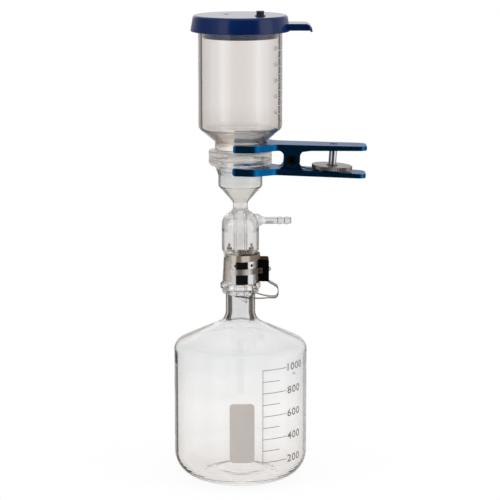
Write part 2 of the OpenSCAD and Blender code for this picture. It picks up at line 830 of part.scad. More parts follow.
// Its outer ears hold the pin, and its boss holds the stud
module clamp_upper_arm() {
    color(anodised)
        difference() {
            union() {
                at_hinge(upper_tilt) {
                    arm_plate();
                    ears(hub_y);
                    translate([stud_x, 0, arm_rise - boss_h])
                        cylinder(h = boss_h + handle_t / 2, d = boss_d);
                }
            }
            at_hinge(0)
                along_y(-jaw_w, jaw_w, pin_d + 2 * running_gap);
            at_hinge(lower_tilt)
                translate([stud_x, 0, 0])
                    cylinder(h = 3 * arm_rise, d = stud_d + 2 * running_gap);
            funnel_seat();
        }
}

// Its inner ears turn on the pin, and its seat takes the thumb disc
module clamp_lower_arm() {
    hole_x = stud_x - stud_hole_shift;
    color(anodised)
        difference() {
            at_hinge(lower_tilt)
                mirror([0, 0, 1])
                    difference() {
                        union() {
                            arm_plate();
                            ears(lug_y);
                            translate([hole_x, 0, arm_rise - seat_h])
                                cylinder(h = seat_h + handle_t / 2, d = seat_d);
                        }
                        translate([hole_x, 0, 0])
                            cylinder(h = 3 * arm_rise, d = stud_hole_d);
                    }
            at_hinge(0)
                along_y(-jaw_w, jaw_w, pin_d + 2 * running_gap);
            base_seat();
        }
}

// Rivet with a head at each end, drilled in from both sides
module clamp_hinge_pin() {
    end_y = hub_y + running_gap;
    color([0.62, 0.55, 0.48])
        at_hinge(0)
            difference() {
                union() {
                    along_y(-end_y - pin_head_t / 2, end_y + pin_head_t / 2, pin_d);
                    both_sides()
                        along_y(end_y, end_y + pin_head_t, pin_head_d);
                }
                both_sides()
                    along_y(end_y + pin_head_t - pin_bore_depth, end_y + pin_head_t + past, pin_bore);
            }
}

// Wire swept along a line of points, a ring of sides round each
function ring(path, i, sides) =
    let (last = len(path) - 1,
         along = unit(path[min(i + 1, last)] - path[max(i - 1, 0)]),
         u = unit(cross(along, [0, 1, 0])),
         v = cross(along, u))
    [for (k = [0:sides - 1]) path[i] + wire_d / 2 * (cos(360 * k / sides) * u + sin(360 * k / sides) * v)];

module wire(path) {
    sides = 8;
    n = len(path);
    points = [for (i = [0:n - 1]) each ring(path, i, sides)];
    skin = [for (i = [0:n - 2], k = [0:sides - 1])
        [i * sides + k, i * sides + (k + 1) % sides, (i + 1) * sides + (k + 1) % sides, (i + 1) * sides + k]];
    polyhedron(points, concat([[for (k = [sides - 1:-1:0]) k]], skin,
                              [[for (k = [0:sides - 1]) (n - 1) * sides + k]]));
}

// Coiled round the pin between the inner ears, with a leg against each arm
module clamp_torsion_spring() {
    coil_r = pin_d / 2 + coil_gap + wire_d / 2;
    coil_y = lug_y - ear_t - ear_gap - wire_d / 2;
    stand_off = wire_d / 2 + leg_gap;
    upper_z = arm_rise - stand_off - spring_leg * tan(upper_tilt);
    bend_z = -arm_rise + stand_off - spring_bend * tan(lower_tilt);
    lower_z = -arm_rise + stand_off - spring_leg * tan(lower_tilt);
    from = 90 + atan((upper_z - coil_r) / spring_leg);
    to = 270 - atan((-bend_z - coil_r) / spring_bend) + 360 * spring_turns;
    steps = 22 * spring_turns;
    coil = [for (i = [0:steps])
        let (a = from + (to - from) * i / steps)
        [coil_r * cos(a), coil_y * (1 - 2 * i / steps), coil_r * sin(a)]];
    color(steel)
        at_hinge(0)
            wire(concat([[spring_leg, coil_y, upper_z]], coil,
                        [[spring_bend, -coil_y, bend_z], [spring_leg, -coil_y, lower_z]]));
}

// ---- Thumb screw, in the frame of the lower arm at rest ----

disc_z = -arm_rise + seat_h + disc_gap;

// Riveted into the upper arm, square to the lower arm
module clamp_screw_stud() {
    top_z = (arm_rise + handle_t) / cos(lower_tilt) - stud_x * (sin(upper_tilt) - sin(lower_tilt));
    color(steel)
        difference() {
            at_hinge(lower_tilt)
                translate([stud_x, 0, -arm_rise])
                    cylinder(h = top_z + arm_rise + jaw_t, d = stud_d);
            at_hinge(upper_tilt)
                translate([0, -jaw_w / 2, arm_rise + handle_t])
                    cube([handle_len, jaw_w, 4 * jaw_t]);
        }
}

// Grooved disc with a low hub, running on the stud
module clamp_thumb_disc() {
    color([0.66, 0.63, 0.61])
        at_hinge(lower_tilt)
            translate([stud_x, 0, disc_z])
                difference() {
                    union() {
                        linear_extrude(disc_t)
                            polygon([for (i = [0:2 * disc_grooves - 1])
                                (disc_d / 2 - (i % 2) * groove_t)
                                * [cos(180 * i / disc_grooves), sin(180 * i / disc_grooves)]]);
                        cylinder(h = disc_t + disc_hub_h, d = disc_hub_d);
                    }
                    translate([0, 0, -past])
                        cylinder(h = disc_t + disc_hub_h + 2 * past, d = stud_d + 2 * running_gap);
                }
}

// ---- Joint clip ----

sleeve_bore_r = skirt_low_d / 2 + sleeve_gap;
sleeve_r = sleeve_bore_r + sheet_t;
sleeve_z = lip_top_z + sleeve_gap;
bracket_z = sleeve_z + bracket_up;
wrap_r = sleeve_r + rivet_gap;

// A small domed head on the plane Z = 0, with a shank of its own below
module rivet(head_d, head_h, shank, depth) {
    ball_r = (head_d * head_d / 4 + head_h * head_h) / (2 * head_h);
    translate([0, 0, -depth])
        cylinder(h = depth + head_h / 2, d = shank, $fn = 24);
    intersection() {
        cylinder(h = head_h + past, d = head_d);
        translate([0, 0, head_h - ball_r])
            sphere(r = ball_r);
    }
}

// Places something on the sleeve's outside, its Z pointing outwards
module on_sleeve(turn, up) {
    rotate([0, 0, turn])
        translate([sleeve_r, 0, sleeve_z + up])
            rotate([0, 90, 0])
                children();
}

stop_turns = [-104, -54, 54, 104];

// Sprung sleeve, open to the side away from the clamp
module clip_sleeve() {
    band_z = sleeve_z + sleeve_h - band_h;
    top_z = sleeve_z + sleeve_h;
    color(steel)
        difference() {
            rotate([0, 0, sleeve_open / 2 - 180])
                rotate_extrude(angle = 360 - sleeve_open)
                    polygon(rounded_loop([
                        [sleeve_bore_r, sleeve_z],
                        [sleeve_r, sleeve_z],
                        [sleeve_r, band_z],
                        [sleeve_r + band_t, band_z + band_t],
                        [sleeve_r + band_t, top_z, band_t],
                        [sleeve_bore_r, top_z, 0.3]]));
            for (turn = stop_turns)
                on_sleeve(turn, stop_up)
                    translate([0, 0, -2 * sheet_t])
                        cylinder(h = 3 * sheet_t, d = stop_d / 2 + 2 * rivet_gap, $fn = 24);
        }
}

module clip_sleeve_rivets() {
    color([0.6, 0.58, 0.55])
        for (turn = stop_turns)
            on_sleeve(turn, stop_up)
                translate([0, 0, rivet_gap])
                    rivet(stop_d, stop_d / 4, stop_d / 2, sheet_t);
}

// A strap round one side of the sleeve, riveted to the bracket's side
module strap() {
    mid_r = wrap_r + sheet_t / 2;
    plate_y = bracket_w / 2 + rivet_gap + sheet_t / 2;
    off_x = mid_r * cos(strap_off) + (mid_r * sin(strap_off) - plate_y) * tan(strap_off);
    steps = ceil((strap_turn - strap_off) / arc_step);
    round_sleeve = [for (i = [0:steps])
        let (a = strap_turn + (strap_off - strap_turn) * i / steps)
        mid_r * [cos(a), sin(a)]];
    color(steel)
        difference() {
            translate([0, 0, sleeve_z + strap_up])
                linear_extrude(strap_w)
                    polygon(strip(concat(round_sleeve, [[off_x, plate_y],
                                                        [strap_rivet_x + strap_rivet_d / 2, plate_y]]), sheet_t));
            strap_rivet_place()
                translate([0, 0, -2 * sheet_t])
                    cylinder(h = 4 * sheet_t, d = shank_d + 2 * rivet_gap, $fn = 24);
        }
}

// On the outer face of the strap at the bracket's side, its Z pointing outwards
module strap_rivet_place() {
    translate([strap_rivet_x, bracket_w / 2 + rivet_gap + sheet_t, sleeve_z + strap_up + strap_w / 2])
        rotate([-90, 0, 0])
            children();
}

module clip_strap_front() {
    mirror([0, 1, 0])
        strap();
}

module clip_strap_back() {
    strap();
}

module clip_strap_rivets() {
    color([0.62, 0.55, 0.48])
        both_sides()
            strap_rivet_place()
                translate([0, 0, rivet_gap])
                    rivet(strap_rivet_d, strap_rivet_h, shank_d, 2 * sheet_t + rivet_gap);
}

// On the outer face of the bracket's end, its Z pointing outwards
module spring_rivet_place() {
    translate([bracket_reach, 0, bracket_z + spring_rivet_up])
        rotate([0, 90, 0])
            children();
}

// Folded from sheet: two sides, a top and an end, open towards the sleeve and below
module clip_bracket() {
    top_z = bracket_z + bracket_h;
    inner_y = bracket_w / 2 - sheet_t;
    color(steel)
        difference() {
            across(-bracket_w / 2, bracket_w / 2)
                polygon(rounded_loop([
                    [0, bracket_z],
                    [bracket_reach, bracket_z],
                    [bracket_reach, top_z, bracket_round],
                    [0, top_z]]));
            across(-inner_y, inner_y)
                polygon(rounded_loop([
                    [-past, bracket_z - past],
                    [bracket_reach - sheet_t, bracket_z - past],
                    [bracket_reach - sheet_t, top_z - sheet_t, bracket_round - sheet_t],
                    [-past, top_z - sheet_t]]));
            translate([0, 0, bracket_z - past])
                cylinder(h = bracket_h + 2 * past, r = wrap_r + band_t);
            spring_rivet_place()
                translate([0, 0, -2 * sheet_t])
                    cylinder(h = 3 * sheet_t, d = shank_d + 2 * rivet_gap, $fn = 24);
            both_sides()
                strap_rivet_place()
                    translate([0, 0, -3 * sheet_t])
                        cylinder(h = 4 * sheet_t, d = shank_d + 2 * rivet_gap, $fn = 24);
        }
}

module clip_spring_rivet() {
    color(steel)
        spring_rivet_place()
            translate([0, 0, rivet_gap])
                rivet(spring_rivet_d, spring_rivet_h, shank_d, sheet_t + leaf_t + 3 * rivet_gap);
}

// Leaf that hangs from the bracket, loops out and back, and forks round the neck
module clip_fork_spring() {
    leaf_x = bracket_reach - sheet_t - rivet_gap - leaf_t / 2;
    slot = neck_r + tine_gap;
    tine_z = under_collar_z - tine_top_gap - leaf_t / 2;
    low_z = under_collar_z - loop_low;
    side = [
        [leaf_x, bracket_z + spring_rivet_up + spring_rivet_d / 2],
        [leaf_x, bracket_z - 0.6, 1.2],
        [loop_reach - leaf_t / 2, bracket_z - loop_drop, loop_round],
        [loop_reach - leaf_t / 2, low_z, loop_round],
        [neck_r + 6, low_z + 0.5, 6],
        [0, tine_z, 4],
        [-tine_past, tine_z]];
    outer = [
        [-tine_past, slot + tine_w, 1.4],
        [neck_r - 4, slot + tine_w, 6],
        [fork_reach, leaf_w / 2, 3]];
    inner = moved(outer, -tine_w);
    crotch = inner[2].x + inner[2].y * (outer[2].x - outer[1].x) / (outer[1].y - outer[2].y);
    half = concat(outer, [[loop_reach + past, leaf_w / 2]]);
    gap = [[-2 * slot, slot], inner[1], [crotch, 0, 1.5]];
    color(steel)
        difference() {
            intersection() {
                across(-2 * slot, 2 * slot)
                    polygon(strip(side, leaf_t));
                translate([0, 0, low_z - past])
                    linear_extrude(bracket_z + bracket_h - low_z)
                        difference() {
                            polygon(rounded_loop(concat(half, mirrored(half))));
                            polygon(rounded_loop(concat(gap, mirrored(part_of(gap, 0, 1)))));
                        }
            }
            spring_rivet_place()
                translate([0, 0, -4 * sheet_t])
                    cylinder(h = 4 * sheet_t, d = shank_d + 2 * rivet_gap, $fn = 24);
        }
}

bottle();
filter_base();
support_screen();
screen_seal();
funnel();
lid();
lid_vent_plug();
clamp_upper_arm();
clamp_lower_arm();
clamp_hinge_pin();
clamp_torsion_spring();
clamp_screw_stud();
clamp_thumb_disc();
clip_sleeve();
clip_strap_front();
clip_strap_back();
clip_bracket();
clip_fork_spring();
clip_strap_rivets();
clip_spring_rivet();
clip_sleeve_rivets();
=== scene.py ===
"""Looks for the vacuum filtration unit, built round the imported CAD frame.

Places and sizes on the object are in millimetres, which MM turns into Blender's metres. The camera, the
floor and the lamps are placed in metres.
"""

import math

import bpy
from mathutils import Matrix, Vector

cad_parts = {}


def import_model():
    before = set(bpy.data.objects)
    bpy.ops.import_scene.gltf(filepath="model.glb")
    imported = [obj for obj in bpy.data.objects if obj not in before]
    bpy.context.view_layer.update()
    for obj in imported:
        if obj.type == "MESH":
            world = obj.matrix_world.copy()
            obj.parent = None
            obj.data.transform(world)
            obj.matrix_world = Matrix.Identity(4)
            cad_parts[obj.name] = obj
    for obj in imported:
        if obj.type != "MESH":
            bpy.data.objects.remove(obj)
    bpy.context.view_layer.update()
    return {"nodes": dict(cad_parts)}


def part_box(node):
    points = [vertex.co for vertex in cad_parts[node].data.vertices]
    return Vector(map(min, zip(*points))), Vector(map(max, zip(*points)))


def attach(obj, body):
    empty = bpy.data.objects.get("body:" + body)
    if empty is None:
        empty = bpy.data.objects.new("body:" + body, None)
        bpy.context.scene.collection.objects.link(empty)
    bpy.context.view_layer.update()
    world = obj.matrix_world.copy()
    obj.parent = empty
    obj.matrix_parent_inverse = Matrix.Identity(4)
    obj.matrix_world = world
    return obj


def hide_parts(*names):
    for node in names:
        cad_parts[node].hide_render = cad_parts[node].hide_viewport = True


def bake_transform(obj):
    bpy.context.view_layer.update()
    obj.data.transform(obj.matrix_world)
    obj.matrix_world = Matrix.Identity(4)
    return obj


MM = 0.001

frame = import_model()
nodes = frame["nodes"]

# ---- Camera: the photograph's angle, through a long lens that looks a little down ----

look_down = 11  # degrees

camera_data = bpy.data.cameras.new("camera")
camera_data.lens = 148.3
camera_data.sensor_width = 36.0
camera = bpy.data.objects.new("camera", camera_data)
camera.location = (0.0084, -1.770, 0.547)
camera.rotation_euler = (math.radians(90 - look_down), 0, 0)
bpy.context.scene.collection.objects.link(camera)
bpy.context.scene.camera = camera
bpy.context.scene.view_settings.view_transform = "Standard"


# ---- Node helpers ----


def linear(red, green, blue):
    """A colour given as 0 to 255 display values, as Blender's linear numbers."""
    def one(v):
        v = v / 255
        return v / 12.92 if v <= 0.04045 else ((v + 0.055) / 1.055) ** 2.4

    return (one(red), one(green), one(blue), 1.0)


def grey(value):
    return (value, value, value, 1.0)


class Tree:
    """A short way to write a node tree."""

    def __init__(self, owner):
        owner.use_nodes = True
        self.nodes = owner.node_tree.nodes
        self.links = owner.node_tree.links

    def add(self, kind, values=None, **settings):
        """A node whose inputs are linked where a value comes from a node and set where it doesn't."""
        made = self.nodes.new(kind)
        for key, value in settings.items():
            setattr(made, key, value)
        for key, value in (values or {}).items():
            if isinstance(value, bpy.types.NodeSocket):
                self.links.new(value, made.inputs[key])
            else:
                made.inputs[key].default_value = value
        return made

    def maths(self, operation, *values):
        return self.add("ShaderNodeMath", dict(enumerate(values)), operation=operation).outputs[0]

    def largest(self, shares):
        found = shares[0]
        for share in shares[1:]:
            found = self.maths("MAXIMUM", found, share)
        return found

    def ramp(self, factor, *stops):
        made = self.add("ShaderNodeValToRGB", {"Fac": factor})
        elements = made.color_ramp.elements
        while len(elements) < len(stops):
            elements.new(0.5)
        for element, (place, colour) in zip(elements, stops):
            element.position = place
            element.color = colour
        return made.outputs["Color"]

    def step(self, value, low, high):
        """0 below low, 1 above high, smooth between them."""
        made = self.add("ShaderNodeMapRange", {"Value": value, "From Min": low, "From Max": high})
        made.interpolation_type = "SMOOTHSTEP"
        return made.outputs["Result"]

    def mix(self, factor, first, second, blend="MIX"):
        """The first colour where the factor is 0. Where it is 1, the second, or both blended."""
        colours = {"Factor": factor, "A": first, "B": second}
        return self.add("ShaderNodeMix", colours, data_type="RGBA", blend_type=blend).outputs["Result"]

    def darkened(self, colour, here, tone):
        """The colour multiplied by the tone where here is 1."""
        return self.mix(here, colour, tone, blend="MULTIPLY")

    def noise(self, vector, scale, detail=3.0):
        values = {"Vector": vector, "Scale": scale, "Detail": detail}
        return self.add("ShaderNodeTexNoise", values).outputs["Fac"]

    def bump(self, height, strength, distance):
        values = {"Height": height, "Strength": strength, "Distance": distance}
        return self.add("ShaderNodeBump", values).outputs["Normal"]

    def along(self, place, axis):
        return self.add("ShaderNodeSeparateXYZ", {"Vector": place}).outputs[axis]

    def scaled(self, place, factors):
        return self.add("ShaderNodeVectorMath", {0: place, 1: factors}, operation="MULTIPLY").outputs[0]

    def radius(self, place):
        """The distance from the object's upright axis."""
        flat = self.scaled(place, (1, 1, 0))
        return self.add("ShaderNodeVectorMath", {0: flat}, operation="LENGTH").outputs["Value"]

    def past(self, value, limit, soft):
        """1 above the limit, smooth round it, in millimetres."""
        return self.step(value, (limit - soft) * MM, (limit + soft) * MM)

    def within(self, value, low, high, soft):
        """1 between low and high, smooth at both ends, in millimetres."""
        return self.maths("SUBTRACT", self.past(value, low, soft), self.past(value, high, soft))

    def times(self, one, other):
        return self.maths("MULTIPLY", one, other)

    def outward(self, place):
        """1 on the faces that look away from the axis, 0 on those that look towards it."""
        normal = self.add("ShaderNodeNewGeometry").outputs["True Normal"]
        flat = self.scaled(place, (1, 1, 0))
        away = self.add("ShaderNodeVectorMath", {0: normal, 1: flat}, operation="DOT_PRODUCT")
        return self.step(away.outputs["Value"], -0.0001, 0.0001)

    def across(self, place, stops, span=80):
        """A tone that follows the stops from side to side, each (millimetres from the middle, colour)."""
        share = self.maths("DIVIDE", self.along(place, "X"), span * MM)
        return self.ramp(self.maths("ADD", 0.5, share), *[(0.5 + at / span, tone) for at, tone in stops])


def new_material(name, **sockets):
    """A material and its tree, with the Principled shader's own sockets set."""
    material = bpy.data.materials.new(name)
    tree = Tree(material)
    shader = tree.nodes["Principled BSDF"]
    for key, value in sockets.items():
        shader.inputs[key.replace("_", " ")].default_value = value
    place = tree.add("ShaderNodeTexCoord").outputs["Object"]
    return material, tree, shader, place


# ---- Kinds of material ----

# Painted shade: the dark line where each nozzle barb steps down, and the half widths of such painted lines
ring_shade = (0.16, 0.13, 0.11, 1.0)
ring_half = 0.3
corner_half = 0.25
ground_roughness = 0.3


def glass_material(name, levels, haze, density, rims=(), inside=None, rings=(), ground=(), blown=(),
                   edges=(), lit_side=None, bore=None):
    """Clear glass with a faint tint through its depth, shaded by the angle that it is seen at.

    levels are (low, high, shades) from the bottom up: above low..high the glass takes these shades, each a
    (facing, colour) from face on to edge on, which paint shade towards edge on and, on some, a band of
    painted highlight. rims are (low, high, radius, shades) of painted shade that darkens the outer faces
    where a wall is seen edge on. inside is (radius, top, shades) for a tube within the glass, with painted
    shade on its outline.
    rings are the places along the nozzle where its barbs step down, each drawn as a dark line of painted
    shade.
    ground are the heights and radii of ground faces. blown are the heights, radii and share of the thick
    welds that let light straight through. edges are the height, radii and tone of a dark line of painted
    shade at each corner. A (from x, to x, share) given for the lit side makes the painted rims fade where
    more light falls.
    bore is (height, from x, to x, tone) for painted shade on the underside of the nozzle's bore.
    """
    material, tree, shader, place = new_material(
        name, Transmission_Weight=1.0, IOR=1.47, Specular_IOR_Level=0.5, Roughness=0.0
    )
    facing = tree.add("ShaderNodeLayerWeight", {"Blend": 0.5}).outputs["Facing"]
    height = tree.along(place, "Z")
    reach = tree.along(place, "X")
    radius = tree.radius(place)
    # Painted shade by the angle the glass is seen at, lighter or darker by height
    colour = tree.ramp(facing, *levels[0][2])
    for low, high, shades in levels[1:]:
        colour = tree.mix(tree.step(height, low * MM, high * MM), colour, tree.ramp(facing, *shades))
    # Painted shade along the outline of the tube within
    if inside:
        limit, top, shades = inside
        outside = tree.maths("MAXIMUM", tree.past(radius, limit, 0.3), tree.past(height, top, 1))
        colour = tree.mix(outside, tree.ramp(facing, *shades), colour)
    # Painted dark lines of shade where the nozzle's barbs step down
    for at in rings:
        colour = tree.mix(tree.within(reach, at - ring_half, at + ring_half, 0.15), colour, ring_shade)
    # Painted shade on the underside of the nozzle's bore
    if bore:
        low, start, end, tone = bore
        underside = tree.within(height, low - 0.6, low + 0.1, 0.15)
        colour = tree.darkened(colour, tree.times(underside, tree.within(reach, start, end, 0.6)), tone)
    # Painted shade on the rims where a wall is seen edge on, fading towards the side where more light falls
    for low, high, limit, shades in rims:
        outer = tree.step(radius, (limit - 1) * MM, limit * MM)
        here = tree.times(tree.times(tree.within(height, low, high, 1.0), outer), tree.outward(place))
        if lit_side:
            start, end, share = lit_side
            fading = tree.times(tree.step(reach, start * MM, end * MM), share)
            here = tree.times(here, tree.maths("SUBTRACT", 1.0, fading))
        colour = tree.darkened(colour, here, tree.ramp(facing, *shades))
    # Painted dark lines of shade at the glass's corners
    for at, inner, outer, tone in edges:
        corner = tree.within(height, at - corner_half, at + corner_half, 0.15)
        colour = tree.darkened(colour, tree.times(corner, tree.within(radius, inner, outer, 0.5)), tone)
    tree.links.new(colour, shader.inputs["Base Color"])
    waves = tree.noise(place, 38.0, 1.0)
    tree.links.new(tree.bump(waves, 0.12, 0.0006), shader.inputs["Normal"])
    if ground:
        shares = [tree.times(tree.within(height, low, high, 0.2), tree.within(radius, inner, outer, 0.05))
                  for low, high, inner, outer in ground]
        tree.links.new(tree.times(tree.largest(shares), ground_roughness), shader.inputs["Roughness"])
    if blown:
        shares = []
        for low, high, inner, outer, share in blown:
            weld = tree.times(tree.within(height, low, high, 1.0), tree.within(radius, inner, outer, 1.0))
            shares.append(tree.times(weld, share))
        tree.links.new(tree.maths("SUBTRACT", 1.0, tree.largest(shares)), shader.inputs["Alpha"])
    depth = tree.add("ShaderNodeVolumeAbsorption", {"Color": haze, "Density": density})
    tree.links.new(depth.outputs["Volume"], tree.nodes["Material Output"].inputs["Volume"])
    return material


def plastic_material(name, colour, lighter, low=None):
    """Glossy moulded plastic with faint flow and a fine skin. low is (height, colour) for painted light on
    its shaded foot.
    """
    material, tree, shader, place = new_material(
        name, Roughness=0.26, Specular_IOR_Level=0.3, Coat_Weight=0.5, Coat_Roughness=0.08, IOR=1.5
    )
    flow = tree.noise(place, 22.0, 4.0)
    mixed = tree.mix(tree.step(flow, 0.35, 0.75), colour, lighter)
    # Painted light: a lighter foot where the part sits in shade
    if low:
        limit, painted_light_tone = low
        mixed = tree.mix(tree.past(tree.along(place, "Z"), limit, 0.4), painted_light_tone, mixed)
    tree.links.new(mixed, shader.inputs["Base Color"])
    skin = tree.noise(place, 900.0, 2.0)
    tree.links.new(tree.bump(skin, 0.05, 0.0002), shader.inputs["Normal"])
    return material


def metal_material(name, colour, lighter, roughness, brushed=(1, 1, 1), grain=0.08, satin=None, painted_tones=None,
                   **sockets):
    """Metal with brushing drawn out along one direction and a slightly uneven polish.

    The painted tones are stops of a tone that multiplies the metal's own from side to side: stripes of
    painted reflection, or a darkening towards one end. satin is (inner radius, height, stops) for the clip's
    sleeve: dull inside that radius, and above that height a satin band whose stripes of painted reflection
    follow the stops.
    Each stop is (millimetres from the middle, colour).
    """
    material, tree, shader, place = new_material(name, **{"Metallic": 1.0, **sockets})
    lines = tree.noise(tree.scaled(place, brushed), 350.0, 4.0)
    cloud = tree.noise(place, 60.0, 3.0)
    tone = tree.mix(tree.step(cloud, 0.3, 0.8), colour, lighter)
    # Painted tones from side to side
    if painted_tones:
        tone = tree.darkened(tone, 1.0, tree.across(place, painted_tones))
    uneven = tree.maths("ADD", roughness * 0.8, tree.times(lines, roughness * 0.4))
    # Satin band with stripes of painted reflection, and a dull bore
    if satin:
        inner, above, stops = satin
        bore = tree.maths("SUBTRACT", 1.0, tree.past(tree.radius(place), inner, 0.1))
        band = tree.past(tree.along(place, "Z"), above, 0.2)
        dull = tree.maths("MAXIMUM", bore, band)
        tone = tree.mix(band, tree.mix(bore, tone, grey(0.85)), tree.across(place, stops))
        uneven = tree.maths("ADD", uneven, tree.times(dull, 0.35))
        tree.links.new(tree.maths("SUBTRACT", 1.0, tree.times(dull, 0.8)), shader.inputs["Metallic"])
    tree.links.new(tone, shader.inputs["Base Color"])
    tree.links.new(uneven, shader.inputs["Roughness"])
    tree.links.new(tree.bump(lines, grain, 0.0002), shader.inputs["Normal"])
    return material


def print_material(name, colour):
    """Matt ceramic ink, slightly uneven where it was screened."""
    material, tree, shader, place = new_material(name, Roughness=0.7, Specular_IOR_Level=0.2)
    speck = tree.noise(place, 1500.0, 3.0)
    darker = tuple(c * 0.88 for c in colour[:3]) + (1.0,)
    tree.links.new(tree.mix(tree.step(speck, 0.3, 0.7), darker, colour), shader.inputs["Base Color"])
    tree.links.new(tree.bump(speck, 0.1, 0.0001), shader.inputs["Normal"])
    return material


def seal_material():
    """Matt white PTFE, a little cloudy."""
    material, tree, shader, place = new_material("seal_white", Roughness=0.5, Subsurface_Weight=0.1)
    shader.inputs["Subsurface Scale"].default_value = 0.001
    cloudy = tree.mix(tree.noise(place, 300.0), linear(228, 228, 224), linear(240, 240, 238))
    tree.links.new(cloudy, shader.inputs["Base Color"])
    return material


# ---- Painted shade and highlight of the glass, from face on to edge on ----


def shade(facing, red, green, blue):
    return facing, (red, green, blue, 1.0)


def untouched(facing):
    return shade(facing, 1, 1, 1)


def dimmed(shades, red, green, blue):
    return [shade(facing, r * red, g * green, b * blue) for facing, (r, g, b, _) in shades]


def dark_band(start, dark_from, dark_to, end, near, far):
    """Shades that leave the glass as it is but for a dark band of painted shade, near is its first tone and
    far its last.
    """
    return [untouched(start), shade(dark_from, *near), shade(dark_to, *far), untouched(end)]


warm_haze = (0.62, 0.52, 0.44, 1.0)

# Painted shade that darkens the glass towards edge on; the bottle's, base's and funnel's hold a band of
# painted highlight
clear = [shade(0.00, 0.985, 0.982, 0.978), shade(0.14, 0.955, 0.95, 0.945), shade(0.30, 0.99, 0.987, 0.983),
         shade(0.45, 0.95, 0.945, 0.94), shade(0.72, 0.89, 0.88, 0.87), shade(0.90, 0.84, 0.82, 0.80)]
base_clear = [shade(0.00, 0.90, 0.893, 0.885), shade(0.12, 0.93, 0.925, 0.918),
              shade(0.34, 0.88, 0.87, 0.855), shade(0.60, 0.85, 0.84, 0.82), shade(0.80, 0.82, 0.80, 0.775),
              shade(0.92, 0.78, 0.76, 0.73)]
funnel_clear = [shade(0.0, 0.86, 0.83, 0.81), shade(0.1, 0.95, 0.94, 0.93), shade(0.2, 0.80, 0.78, 0.77),
                shade(0.7, 0.77, 0.74, 0.72)]
lip_clear = [shade(0.00, 1, 0.995, 0.99), shade(0.60, 0.97, 0.96, 0.95), shade(0.90, 0.8, 0.78, 0.76)]
flange_clear = [shade(0.00, 1, 0.98, 0.95), shade(0.60, 0.97, 0.935, 0.89), shade(0.90, 0.82, 0.76, 0.70)]
tube_clear = [shade(0.00, 0.94, 0.94, 0.945), shade(0.22, 1.0, 0.995, 0.99), shade(0.40, 0.93, 0.925, 0.92),
              shade(0.50, 0.30, 0.28, 0.26), shade(0.64, 0.16, 0.145, 0.13), shade(0.85, 0.14, 0.125, 0.11)]

# Painted shade at the rims of the bottle: wall, turn of the shoulder, slope and neck (in painted bands)
wall_edge = [untouched(0.675), shade(0.70, 0.016, 0.012, 0.009), shade(0.722, 0.016, 0.012, 0.009),
             shade(0.755, 0.14, 0.12, 0.10), shade(0.80, 0.32, 0.29, 0.26), shade(0.87, 0.70, 0.67, 0.64),
             untouched(1.0)]
turn_edge = [untouched(0.66), shade(0.70, 0.010, 0.008, 0.006), shade(0.80, 0.010, 0.008, 0.006),
             shade(0.88, 0.12, 0.10, 0.085), shade(1.0, 0.4, 0.37, 0.34)]
slope_edge = [untouched(0.66), shade(0.75, 0.66, 0.58, 0.51), shade(0.80, 0.05, 0.038, 0.03),
              shade(0.94, 0.016, 0.011, 0.008), shade(1.0, 0.04, 0.03, 0.024)]
neck_edge = [untouched(0.17), shade(0.205, 0.045, 0.036, 0.028), shade(0.44, 0.035, 0.027, 0.02),
             shade(0.50, 0.30, 0.27, 0.24), shade(0.58, 0.50, 0.47, 0.44), shade(0.66, 0.05, 0.04, 0.03),
             shade(0.78, 0.06, 0.05, 0.04), shade(0.92, 0.5, 0.48, 0.46)]

# Painted shade at the rims of the filter base: lip, chamber, the dark step at its foot, and the stem with its
# bowl
lip_edge = [untouched(0.25), shade(0.50, 0.45, 0.40, 0.34), shade(0.80, 0.40, 0.35, 0.30),
            shade(1.0, 0.8, 0.78, 0.76)]
chamber_edge = [untouched(0.46), shade(0.53, 0.20, 0.175, 0.155), shade(0.60, 0.22, 0.195, 0.175),
                shade(0.70, 0.30, 0.28, 0.26), shade(0.85, 0.6, 0.58, 0.56), shade(1.0, 0.9, 0.9, 0.9)]
step_low_edge = dark_band(0.05, 0.10, 0.33, 0.38, (0.16, 0.13, 0.10), (0.20, 0.17, 0.14))
step_edge = dark_band(0.10, 0.13, 0.29, 0.33, (0.02, 0.017, 0.014), (0.02, 0.017, 0.014))
step_high_edge = dark_band(0.15, 0.18, 0.24, 0.27, (0.03, 0.026, 0.022), (0.03, 0.026, 0.022))
stem_edge = [untouched(0.50), shade(0.60, 0.14, 0.12, 0.10), shade(0.70, 0.25, 0.22, 0.19),
             shade(0.80, 0.4, 0.37, 0.34), shade(0.90, 0.06, 0.05, 0.04), shade(1.0, 0.2, 0.18, 0.16)]

# Painted shade at the rims of both flanges, and of the funnel's cone and wall
flange_edge = [shade(0.12, 1, 0.995, 0.985), shade(0.28, 0.84, 0.77, 0.69), shade(0.60, 0.62, 0.54, 0.45),
               shade(1.0, 0.36, 0.30, 0.24)]
cone_edge = [untouched(0.45), shade(0.62, 0.10, 0.08, 0.06), shade(0.80, 0.08, 0.06, 0.045),
             shade(0.92, 0.4, 0.37, 0.34), shade(1.0, 0.9, 0.9, 0.9)]
funnel_edge = [untouched(0.55), shade(0.59, 0.012, 0.009, 0.007), shade(0.615, 0.014, 0.011, 0.009),
               shade(0.65, 0.18, 0.155, 0.135), shade(0.74, 0.42, 0.38, 0.35), untouched(0.84)]

# Painted shade: the dark lines at the glass's corners and on the underside of the nozzle's bore
faint_corner_shade = (0.6, 0.56, 0.52, 1.0)
stem_corner_shade = (0.45, 0.42, 0.38, 1.0)
neck_corner_shade = (0.45, 0.39, 0.33, 1.0)
flange_corner_shade = (0.25, 0.21, 0.17, 1.0)
ground_corner_shade = (0.06, 0.05, 0.04, 1.0)
bore_shade = (0.14, 0.11, 0.09, 1.0)

# ---- Glass of the bottle, the filter base and the funnel, with heights and radii in millimetres ----

collar_top = 168.3
cone_low = collar_top + 1.0
cone_high = cone_low + 32.0

